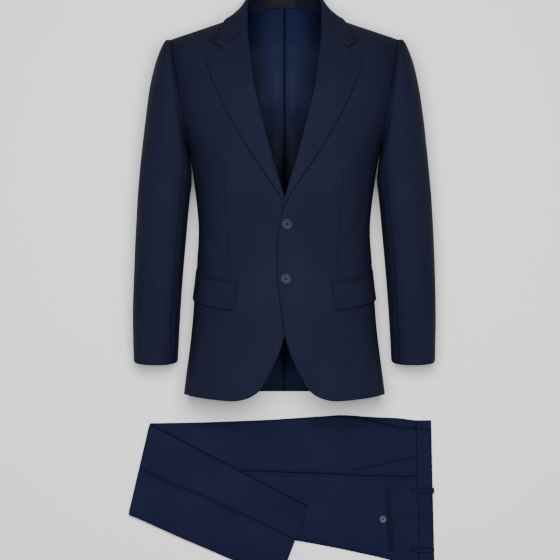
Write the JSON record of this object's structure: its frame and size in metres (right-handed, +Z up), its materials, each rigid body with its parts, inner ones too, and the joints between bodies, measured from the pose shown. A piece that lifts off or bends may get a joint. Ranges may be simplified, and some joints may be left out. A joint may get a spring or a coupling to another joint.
{
  "type": "two-piece suit",
  "caption": "Two-piece suit laid out flat: hollow single-breasted jacket with notched lapels above trousers with their legs folded over.",
  "frame": {"origin": "middle of the whole set's outline, on the surface it lies on", "axes": "+Z up from the surface, +Y towards the jacket's collar, +X towards the wearer's left"},
  "size_m": [0.6012, 1.1582, 0.2205],
  "materials": {
    "suiting": "fine worsted wool, matt with a soft sheen",
    "lining": "satin lining, smooth and shiny",
    "label": "bare woven label",
    "jacket_buttons": "polished horn look",
    "trouser_cloth": "fine worsted wool, pressed",
    "trouser_button": "pale polished horn look"
  },
  "bodies": {
    "root": {"back_hem_facing_left": "suiting", "back_hem_facing_right": "suiting", "back_lining_left": "lining", "back_lining_right": "lining", "back_pocket_button": "trouser_button", "back_pocket_welt_lower": "trouser_cloth", "back_pocket_welt_upper": "trouser_cloth", "belt_loop_back": "trouser_cloth", "belt_loop_side": "trouser_cloth", "breast_pocket_welt": "suiting", "front_pocket_edge": "trouser_cloth", "jacket_back_left": "suiting", "jacket_back_right": "suiting", "jacket_button_lower": "jacket_buttons", "jacket_button_upper": "jacket_buttons", "jacket_collar": "suiting", "jacket_front_left": "suiting", "jacket_front_right": "suiting", "jacket_label": "label", "jacket_lapel_left": "suiting", "jacket_lapel_right": "suiting", "jacket_side_left": "suiting", "jacket_side_right": "suiting", "pocket_flap_left": "suiting", "pocket_flap_right": "suiting", "pocket_jetting_left": "suiting", "pocket_jetting_right": "suiting", "sleeve_top_left": "suiting", "sleeve_top_right": "suiting", "sleeve_under_left": "suiting", "sleeve_under_right": "suiting", "trousers_inner_layers": "trouser_cloth", "trousers_left_back": "trouser_cloth", "trousers_left_front": "trouser_cloth", "trousers_right_back": "trouser_cloth", "trousers_right_front": "trouser_cloth", "waistband_left": "trouser_cloth", "waistband_right": "trouser_cloth", "waistband_right_end": "trouser_cloth"}
  },
  "joints": []
}
